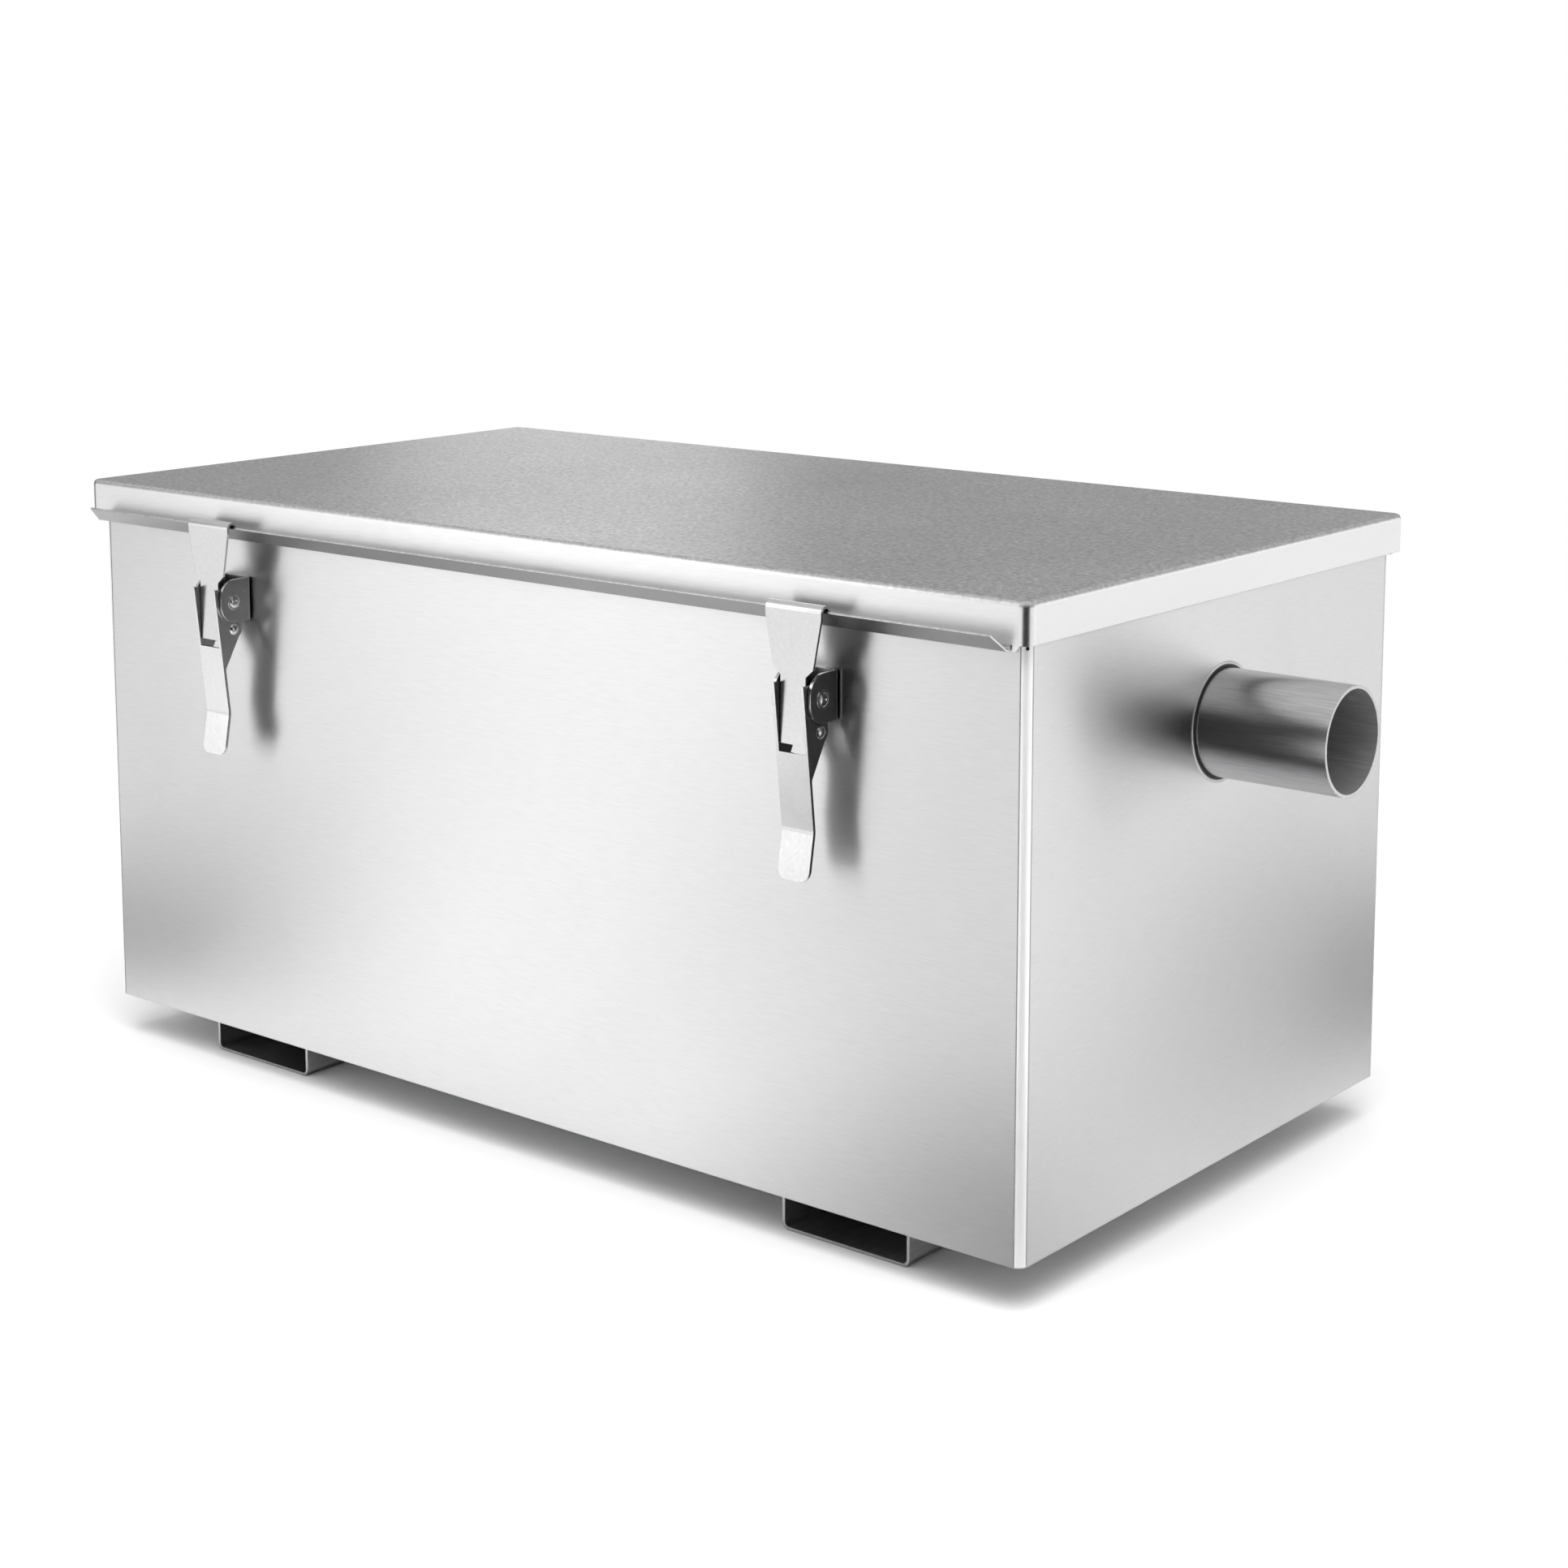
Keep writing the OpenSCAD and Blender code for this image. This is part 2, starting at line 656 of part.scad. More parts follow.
// Pivot rivets: one through each ear and cheek, so the hook can swing between them
module latch_rivets(i) {
    shank = lever_t + side_clear + lever_t;
    color(steel) at_latch(i) for (turn = [0, 180]) rotate(turn) translate([base_w / 2, 0, 0]) {
        dome();
        rotate([0, -90, 0]) cylinder(d = rivet_d, h = shank);
    }
}

// Link pin: set in both cheeks, with a domed head outside each
module latch_pin(i) {
    color(steel) at_latch(i) translate([0, -link[0], link[1]]) {
        rotate([0, 90, 0]) cylinder(d = rivet_d, h = lever_w, center = true);
        for (turn = [0, 180]) rotate(turn) translate([lever_w / 2, 0, 0]) dome();
    }
}

long_wall(-1);  // tank_front
long_wall(1);  // tank_back
end_wall(-1);  // tank_inlet_end
end_wall(1);  // tank_outlet_end
tank_floor();
foot(-1);  // foot_left
foot(1);  // foot_right
pipe(-1);  // inlet_pipe
pipe(1);  // outlet_pipe
outlet_elbow();
lid();
lid_seal();
inlet_baffle();
outlet_baffle();
guide(inlet_baffle_x, -1);  // inlet_guide_front
guide(inlet_baffle_x, 1);  // inlet_guide_back
guide(outlet_baffle_x, -1);  // outlet_guide_front
guide(outlet_baffle_x, 1);  // outlet_guide_back
basket_rail(-1);  // basket_rail_front
basket_rail(1);  // basket_rail_back
strainer_basket();
basket_handle();
for (i = [0:len(LATCH_PLACES) - 1]) {
    latch_bracket(i);
    latch_lever(i);
    latch_hook(i);
    latch_rivets(i);
    latch_pin(i);
}
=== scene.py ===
# %% [markdown]
# # A stainless grease trap
#
# The tank, lid and latches arrive from CAD as exact solids. This script dresses them: it gives every
# sheet its brushed finish, adds the small made details that the solids leave out, and sets up a plain
# studio. All sizes are metres, in the CAD frame: +X leaves the outlet pipe, -Y is the front, +Z is up.

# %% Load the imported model
import math

import bmesh
import bpy
import numpy as np
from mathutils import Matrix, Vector


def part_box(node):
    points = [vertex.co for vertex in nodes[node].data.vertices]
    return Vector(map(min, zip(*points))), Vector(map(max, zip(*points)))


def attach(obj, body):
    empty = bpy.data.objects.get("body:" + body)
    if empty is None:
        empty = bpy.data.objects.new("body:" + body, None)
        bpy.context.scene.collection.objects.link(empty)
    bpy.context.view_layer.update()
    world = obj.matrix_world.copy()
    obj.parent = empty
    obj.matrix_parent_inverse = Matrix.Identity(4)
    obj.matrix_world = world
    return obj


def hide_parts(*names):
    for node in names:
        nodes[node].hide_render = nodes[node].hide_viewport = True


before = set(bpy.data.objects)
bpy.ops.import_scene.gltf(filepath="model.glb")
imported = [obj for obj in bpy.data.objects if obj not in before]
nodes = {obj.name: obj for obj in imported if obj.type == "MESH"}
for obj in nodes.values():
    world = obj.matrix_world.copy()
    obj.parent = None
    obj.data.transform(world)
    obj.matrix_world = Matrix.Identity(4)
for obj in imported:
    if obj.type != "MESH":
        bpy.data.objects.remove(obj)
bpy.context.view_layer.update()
scene = bpy.context.scene
scene.view_settings.view_transform = "Standard"

# %% [markdown]
# ## Camera
#
# The photograph looks at the front right corner from a little above. Its upright edges stay nearly
# parallel, which a photographer gets by keeping the camera level and sliding the lens down. Part of
# that slide is kept here as a downward shift, and the rest becomes a gentle tilt, because the other
# views keep the shift too. The place and the angles come from fitting the corners of tank and lid.

# %% Camera at the photograph's angle
PHOTO_PX = 1932
FOCAL_PX = 3484
LENS_CENTRE_PX = 630
CAMERA_PLACE = (0.9366, -1.0983, 0.5051)
CAMERA_YAW = 39.11
CAMERA_PITCH = -8.12

camera_data = bpy.data.cameras.new("camera")
camera_data.sensor_width = 36.0
camera_data.lens = FOCAL_PX / PHOTO_PX * camera_data.sensor_width
camera_data.shift_y = -(PHOTO_PX / 2 - LENS_CENTRE_PX) / PHOTO_PX
camera = bpy.data.objects.new("camera", camera_data)
camera.location = CAMERA_PLACE
camera.rotation_euler = (math.radians(90 + CAMERA_PITCH), 0, math.radians(CAMERA_YAW))
scene.collection.objects.link(camera)
scene.camera = camera
print("lens", round(camera_data.lens, 1), "mm, shift", round(camera_data.shift_y, 3))

# %% [markdown]
# ## Helpers for meshes
#
# Every new piece is a grid of points worked out with numpy. One helper turns such a grid into a mesh:
# it joins neighbours into quads, closes the grid where it runs round, merges the points that meet at a
# pole and turns the faces outwards. Another carries a profile round an axis, as a lathe does.

# %% Grids and turned shapes
MM = 0.001


def grid_mesh(name, points, round_rows=False, round_cols=False, sharp=40.0):
    """Mesh of a (rows, columns, 3) array of points: one quad between each four neighbours. round_rows
    joins the last row to the first, and round_cols the last column to the first."""
    rows, cols = points.shape[:2]
    index = np.arange(rows * cols).reshape(rows, cols)
    if round_rows:
        index = np.concatenate([index, index[:1]], axis=0)
    if round_cols:
        index = np.concatenate([index, index[:, :1]], axis=1)
    quads = np.stack([index[:-1, :-1], index[:-1, 1:], index[1:, 1:], index[1:, :-1]], axis=-1)
    mesh = bpy.data.meshes.new(name)
    mesh.from_pydata(points.reshape(-1, 3).tolist(), [], quads.reshape(-1, 4).tolist())
    shape = bmesh.new()
    shape.from_mesh(mesh)
    bmesh.ops.remove_doubles(shape, verts=shape.verts, dist=1e-7)
    bmesh.ops.recalc_face_normals(shape, faces=shape.faces)
    shape.to_mesh(mesh)
    shape.free()
    mesh.polygons.foreach_set("use_smooth", np.ones(len(mesh.polygons), dtype=bool))
    mesh.set_sharp_from_angle(angle=math.radians(sharp))
    mesh.update()
    return mesh


def turned(profile, centre, steps=48):
    """Surface of revolution about an axis along X: each profile row (x, r), in millimetres from the
    centre, goes round as (x, r cos a, r sin a) for a from 0 to a full turn."""
    a = np.linspace(0, 2 * np.pi, steps, endpoint=False)
    x, r = profile[:, :1] * MM, profile[:, 1:] * MM
    return np.stack([centre[0] + x + 0 * a, centre[1] + r * np.cos(a), centre[2] + r * np.sin(a)], axis=-1)


def joined(name, meshes):
    """One mesh from several, which are then removed."""
    shape = bmesh.new()
    for part in meshes:
        shape.from_mesh(part)
    whole = bpy.data.meshes.new(name)
    shape.to_mesh(whole)
    shape.free()
    for part in meshes:
        bpy.data.meshes.remove(part)
    whole.polygons.foreach_set("use_smooth", np.ones(len(whole.polygons), dtype=bool))
    whole.set_sharp_from_angle(angle=math.radians(40))
    return whole


def place(name, mesh, material):
    """Puts a mesh in the scene as an object at the origin, with one material."""
    made = bpy.data.objects.new(name, mesh)
    mesh.materials.append(material)
    scene.collection.objects.link(made)
    return made


# %% [markdown]
# ## Helpers for node trees
#
# Materials, the floor and the room are all small node graphs. These helpers keep their cells short:
# one adds a node with its values, one draws the wires, and one writes a step of arithmetic.

# %% Nodes and wires


def node(tree, kind, **values):
    """Adds one node. A key that is a property of the node is set on it, any other names an input."""
    made = tree.nodes.new(kind)
    for key, value in values.items():
        if hasattr(made, key):
            setattr(made, key, value)
        else:
            made.inputs[key.replace("_", " ")].default_value = value
    return made


def wire(tree, *pairs):
    """Joins each pair of sockets (from, to) in a node tree."""
    for a, b in pairs:
        tree.links.new(a, b)


def maths(tree, operation, *terms, clamp=False):
    """Adds one Math node. Each term is a socket to wire in or a plain number. Gives the result's socket."""
    made = node(tree, "ShaderNodeMath", operation=operation, use_clamp=clamp)
    for slot, term in zip(made.inputs, terms):
        if isinstance(term, (int, float)):
            slot.default_value = term
        else:
            tree.links.new(term, slot)
    return made.outputs[0]


# %% [markdown]
# ## Studio floor and room
#
# Polished sheet shows its surroundings more than its own colour, so the room matters as much as the
# finish. The floor is pale and keeps the object's shadow. Further out it glows at exactly white for the
# camera and for reflections alike, so that the backdrop is clean and the metal shows that backdrop too.
# The room is white at the horizon, grey above it and paler overhead: the grey is what the lid mirrors.

# %% Floor
FLOOR_HALF = 30.0
FLOOR_TONE = 0.90
GLOW_FROM, GLOW_FULL = 0.55, 1.4
floor_mat = bpy.data.materials.new("studio_floor")
floor_mat.use_nodes = True
tree = floor_mat.node_tree
tree.nodes.clear()
out = node(tree, "ShaderNodeOutputMaterial")
lit = node(tree, "ShaderNodeBsdfDiffuse", Color=(FLOOR_TONE, FLOOR_TONE, FLOOR_TONE, 1))
glow = node(tree, "ShaderNodeEmission", Color=(1, 1, 1, 1), Strength=1.0)
mix = node(tree, "ShaderNodeMixShader")
where = node(tree, "ShaderNodeTexCoord")
far = node(tree, "ShaderNodeVectorMath", operation="LENGTH")
fade = node(tree, "ShaderNodeMapRange", interpolation_type="SMOOTHSTEP", From_Min=GLOW_FROM, From_Max=GLOW_FULL)
rays = node(tree, "ShaderNodeLightPath").outputs
seen = maths(tree, "MAXIMUM", rays["Is Camera Ray"], rays["Is Glossy Ray"])
seen = maths(tree, "MAXIMUM", seen, rays["Is Transmission Ray"])
wire(tree, (where.outputs["Object"], far.inputs[0]), (far.outputs["Value"], fade.inputs["Value"]),
     (maths(tree, "MULTIPLY", fade.outputs[0], seen), mix.inputs[0]),
     (lit.outputs[0], mix.inputs[1]), (glow.outputs[0], mix.inputs[2]), (mix.outputs[0], out.inputs["Surface"]))

side = np.linspace(-FLOOR_HALF, FLOOR_HALF, 3)
x, y = np.meshgrid(side, side, indexing="ij")
floor = place("floor", grid_mesh("floor", np.stack([x, y, np.zeros_like(x)], axis=-1)), floor_mat)
if floor.data.polygons[0].normal.z < 0:
    floor.data.flip_normals()
print("floor", 2 * FLOOR_HALF, "m wide")

# %% Room
world = bpy.data.worlds.new("room")
scene.world = world
world.use_nodes = True
tree = world.node_tree
tree.nodes.clear()
out = node(tree, "ShaderNodeOutputWorld")
sky = node(tree, "ShaderNodeBackground", Strength=1.0)
where = node(tree, "ShaderNodeTexCoord")
split = node(tree, "ShaderNodeSeparateXYZ")
ramp = node(tree, "ShaderNodeValToRGB")
ROOM_LEVELS = ((0.05, 1.0), (0.10, 0.35), (0.34, 0.35), (0.56, 0.64), (0.90, 0.72))
for rise, level in ROOM_LEVELS:
    stop = ramp.color_ramp.elements.new(rise)
    stop.color = (level, level, level, 1)
ramp.color_ramp.elements.remove(ramp.color_ramp.elements[0])
ramp.color_ramp.elements.remove(ramp.color_ramp.elements[-1])
wire(tree, (where.outputs["Generated"], split.inputs[0]), (split.outputs["Z"], ramp.inputs[0]),
     (ramp.outputs[0], sky.inputs["Color"]), (sky.outputs[0], out.inputs["Surface"]))
print("room: white horizon, grey above, paler overhead")

# %% [markdown]
# ## Lamps and cards
#
# A wide soft box hangs overhead, a little to the front right, and lights the floor; the metal doesn't
# mirror it. Upright soft boxes on the front left and the back right open the two walls that the camera
# sees. A photographer shapes polished metal with cards as much as with lamps. A dark cloth lies on the
# floor and hangs where the photographer stood, and the pipe and the latch cheeks pick it up as dark
# bands. Cards dim the left end of the front wall and the back of the lid, and soft shades on the floor
# darken the lower walls and the lever plates. Only reflections see any of these.

# %% Soft boxes


def soft_box(name, at, towards, size, watts, mirrored=True):
    """Rectangular lamp at a place, turned to face a point; size is (width, height) in metres."""
    data = bpy.data.lights.new(name, "AREA")
    data.shape = "RECTANGLE"
    data.size, data.size_y = size
    data.energy = watts
    lamp = bpy.data.objects.new(name, data)
    lamp.location = at
    lamp.rotation_mode = "QUATERNION"
    lamp.rotation_quaternion = (Vector(towards) - Vector(at)).to_track_quat("-Z", "Y")
    lamp.visible_camera = False
    lamp.visible_glossy = mirrored
    scene.collection.objects.link(lamp)
    return lamp


soft_box("overhead_box", (0.6, -0.6, 2.4), (0, 0, 0), (2.6, 2.6), 78, mirrored=False)
soft_box("front_left_box", (-1.55, -1.85, 1.1), (0, 0, 0.3), (0.75, 2.0), 7.4)
soft_box("right_back_box", (2.0, 1.9, 0.8), (0, 0, 0.2), (1.2, 1.2), 4.5)
soft_box("back_left_box", (-2.8, 2.8, 1.1), (0, 0, 0.3), (0.7, 0.7), 1.8)

# %% Cards that stand


def only_mirrored(card):
    """Hides a studio card from all but reflections."""
    card.visible_camera = card.visible_diffuse = card.visible_shadow = False
    return card


def arc_card(name, centre, profile, turns, shade):
    """Cloth or card turned round an upright axis at centre: each profile point (radius, height) goes round
    as (r sin a, -r cos a, z) for a between two angles, in degrees from the front towards the right. Only
    reflections see it, as an even shade."""
    turn = np.radians(np.linspace(*turns, 33))[:, None]
    radius, z = np.array(profile).T
    points = np.stack([centre[0] + radius * np.sin(turn), centre[1] - radius * np.cos(turn), z + 0 * turn], axis=-1)
    mat = bpy.data.materials.new(name)
    mat.use_nodes = True
    t = mat.node_tree
    t.nodes.clear()
    even = node(t, "ShaderNodeEmission", Color=(shade, shade, shade, 1), Strength=1.0)
    wire(t, (even.outputs[0], node(t, "ShaderNodeOutputMaterial").inputs["Surface"]))
    return only_mirrored(place(name, grid_mesh(name, points), mat))


arc_card("dark_cloth", (0.22, -0.12), ((0.14, 0.012), (1.2, 0.012), (1.4, 0.10), (1.45, 1.1)), (8, 72), 0.01)
arc_card("left_card", (0.0, -0.16), ((1.3, 0.0), (1.3, 0.9)), (-90, -65), 0.10)
arc_card("back_card", (0.0, 0.0), ((2.0, 0.0), (2.0, 0.58)), (-175, -115), 0.28)

# %% Shades on the floor


def floor_shade(name, middle, half, strength, height):
    """Oval just over the floor that reflections see as a soft dark patch: strength at its middle, fading
    to nothing at the edge of the rectangle middle +- half. Each has its own height, so that they add up."""
    ends = np.array([-1, 1])
    x, y = np.meshgrid(middle[0] + half[0] * ends, middle[1] + half[1] * ends, indexing="ij")
    mat = bpy.data.materials.new(name)
    mat.use_nodes = True
    t = mat.node_tree
    t.nodes.clear()
    where = node(t, "ShaderNodeTexCoord")
    span = node(t, "ShaderNodeMapping", Location=(-1.0, -1.0, 0.0), Scale=(2.0, 2.0, 0.0))
    reach = node(t, "ShaderNodeVectorMath", operation="LENGTH")
    soft = node(t, "ShaderNodeMapRange", interpolation_type="SMOOTHSTEP", From_Min=1.0, From_Max=0.1,
                To_Max=strength)
    mix = node(t, "ShaderNodeMixShader")
    dark = node(t, "ShaderNodeEmission", Color=(0.04, 0.04, 0.04, 1), Strength=1.0)
    wire(t, (where.outputs["Generated"], span.inputs["Vector"]), (span.outputs[0], reach.inputs[0]),
         (reach.outputs["Value"], soft.inputs["Value"]), (soft.outputs[0], mix.inputs[0]),
         (node(t, "ShaderNodeBsdfTransparent").outputs[0], mix.inputs[1]), (dark.outputs[0], mix.inputs[2]),
         (mix.outputs[0], node(t, "ShaderNodeOutputMaterial").inputs["Surface"]))
    return only_mirrored(place(name, grid_mesh(name, np.stack([x, y, height + 0 * x], axis=-1)), mat))


SHADES = (("shade_front_right", (0.25, -0.28), (0.24, 0.20), 0.85),
          ("shade_front", (-0.06, -0.54), (0.24, 0.22), 0.62),
          ("shade_pipe", (0.44, -0.22), (0.24, 0.30), 0.95),
          ("shade_right", (0.42, 0.16), (0.16, 0.34), 0.42),
          ("shade_right_back", (0.41, 0.42), (0.22, 0.32), 0.84),
          ("shade_front_left", (-0.44, -0.29), (0.24, 0.17), 0.85))
shades = [floor_shade(*values, height=(2 + i) * MM) for i, values in enumerate(SHADES)]
print("floor shades:", [o.name for o in shades])

# %% [markdown]
# ## Brushed grain
#
# The sheet is brushed with abrasive belts, which leave fine parallel scratches. Seen closely they are
# streaks of slightly different brightness, and together they smear reflections across the grain. The
# streaks could be modelled as relief, but they are far thinner than a pixel, so they are noise that is
# squeezed hard across the grain and stretched along it. One node group makes them for every steel, and
# gives slow cloudy patches as well, for where the belt pressed harder.

# %% Grain group
grain = bpy.data.node_groups.new("brushed_grain", "ShaderNodeTree")
for socket, kind in (("Vector", "NodeSocketVector"), ("Stretch", "NodeSocketVector"),
                     ("Patches", "NodeSocketFloat")):
    grain.interface.new_socket(socket, in_out="INPUT", socket_type=kind)
for socket in ("Streak", "Patch", "Speck"):
    grain.interface.new_socket(socket, in_out="OUTPUT", socket_type="NodeSocketFloat")
g_in = node(grain, "NodeGroupInput")
g_out = node(grain, "NodeGroupOutput")
scaled = node(grain, "ShaderNodeVectorMath", operation="MULTIPLY")
fine = node(grain, "ShaderNodeTexNoise", Scale=1.0, Detail=3.0, Roughness=0.6)
contrast = node(grain, "ShaderNodeMapRange", From_Min=0.30, From_Max=0.70)
cloud = node(grain, "ShaderNodeTexNoise", Detail=2.0, Roughness=0.5)
speck = node(grain, "ShaderNodeTexNoise", Scale=430.0, Detail=3.0, Roughness=0.7)
speck_contrast = node(grain, "ShaderNodeMapRange", From_Min=0.32, From_Max=0.68)
wire(grain, (g_in.outputs["Vector"], scaled.inputs[0]), (g_in.outputs["Stretch"], scaled.inputs[1]),
     (scaled.outputs[0], fine.inputs["Vector"]), (fine.outputs["Fac"], contrast.inputs["Value"]),
     (g_in.outputs["Vector"], cloud.inputs["Vector"]), (g_in.outputs["Patches"], cloud.inputs["Scale"]),
     (g_in.outputs["Vector"], speck.inputs["Vector"]), (contrast.outputs[0], g_out.inputs["Streak"]),
     (cloud.outputs["Fac"], g_out.inputs["Patch"]), (speck.outputs["Fac"], speck_contrast.inputs["Value"]),
     (speck_contrast.outputs[0], g_out.inputs["Speck"]))
print("group:", grain.name, [s.name for s in grain.interface.items_tree])

# %% [markdown]
# ## Handling marks
#
# A working trap is wiped, knocked and touched. Wiping leaves faint arcs and smears that dull the shine
# a little, and knocks leave sparse short scratches. Both are masks in one group, which each steel mixes
# into its roughness in its own measure.

# %% Marks group
marks = bpy.data.node_groups.new("handling_marks", "ShaderNodeTree")
for socket, kind in (("Vector", "NodeSocketVector"), ("Size", "NodeSocketFloat")):
    marks.interface.new_socket(socket, in_out="INPUT", socket_type=kind)
for socket in ("Smear", "Scratch"):
    marks.interface.new_socket(socket, in_out="OUTPUT", socket_type="NodeSocketFloat")
m_in = node(marks, "NodeGroupInput")
m_out = node(marks, "NodeGroupOutput")
smear_noise = node(marks, "ShaderNodeTexNoise", Detail=4.0, Roughness=0.6, Distortion=1.5)
smear_mask = node(marks, "ShaderNodeMapRange", interpolation_type="SMOOTHSTEP", From_Min=0.52,
                  From_Max=0.75)
lean = node(marks, "ShaderNodeMapping", Rotation=(0.5, 0.9, 0.3), Scale=(40.0, 900.0, 900.0))
scratch_noise = node(marks, "ShaderNodeTexNoise", Scale=1.0, Detail=0.0)
scratch_mask = node(marks, "ShaderNodeMapRange", interpolation_type="SMOOTHSTEP", From_Min=0.72,
                    From_Max=0.80)
wire(marks, (m_in.outputs["Vector"], smear_noise.inputs["Vector"]),
     (m_in.outputs["Size"], smear_noise.inputs["Scale"]),
     (smear_noise.outputs["Fac"], smear_mask.inputs["Value"]), (m_in.outputs["Vector"], lean.inputs["Vector"]),
     (lean.outputs[0], scratch_noise.inputs["Vector"]),
     (scratch_noise.outputs["Fac"], scratch_mask.inputs["Value"]),
     (smear_mask.outputs[0], m_out.inputs["Smear"]), (scratch_mask.outputs[0], m_out.inputs["Scratch"]))
print("group:", marks.name)

# %% [markdown]
# ## Faces that differ
#
# One sheet doesn't look the same all over. A lid top is brushed crosswise with a coarse pad, which
# leaves a fine speckle. Undersides and the backs of pressed pieces get painted shade: their colour is
# made darker. The face's own direction tells these apart, so one group works out a shade from the
# normal and from the place: speckle where the face looks up, painted shade where it looks down, and
# painted shade where it looks back at the tank's middle.

# %% Faces group
faces = bpy.data.node_groups.new("face_shade", "ShaderNodeTree")
for socket in ("Vector", "Normal"):
    faces.interface.new_socket(socket, in_out="INPUT", socket_type="NodeSocketVector")
for socket in ("Speck", "Speckle", "Under", "Back"):
    faces.interface.new_socket(socket, in_out="INPUT", socket_type="NodeSocketFloat")
faces.interface.new_socket("Shade", in_out="OUTPUT", socket_type="NodeSocketFloat")
f_in = node(faces, "NodeGroupInput").outputs
f_out = node(faces, "NodeGroupOutput")
at, normal = node(faces, "ShaderNodeSeparateXYZ"), node(faces, "ShaderNodeSeparateXYZ")
wire(faces, (f_in["Vector"], at.inputs[0]), (f_in["Normal"], normal.inputs[0]))
up = maths(faces, "MULTIPLY", normal.outputs["Z"], 1.0, clamp=True)
pits = maths(faces, "MULTIPLY", up, maths(faces, "SUBTRACT", 1.0, f_in["Speck"]))
down = maths(faces, "MULTIPLY", normal.outputs["Z"], -1.5, clamp=True)
outward = maths(faces, "MULTIPLY", at.outputs["Y"], normal.outputs["Y"])
back = maths(faces, "MULTIPLY", outward, -7.0, clamp=True)
# painted shade: faces looking down and faces looking back at the tank's middle are darkened
painted_shade = maths(faces, "ADD", maths(faces, "MULTIPLY", down, f_in["Under"]),
             maths(faces, "MULTIPLY", back, f_in["Back"]))
lost = maths(faces, "ADD", painted_shade, maths(faces, "MULTIPLY", pits, f_in["Speckle"]))
wire(faces, (maths(faces, "SUBTRACT", 1.0, lost, clamp=True), f_out.inputs["Shade"]))
print("group:", faces.name)
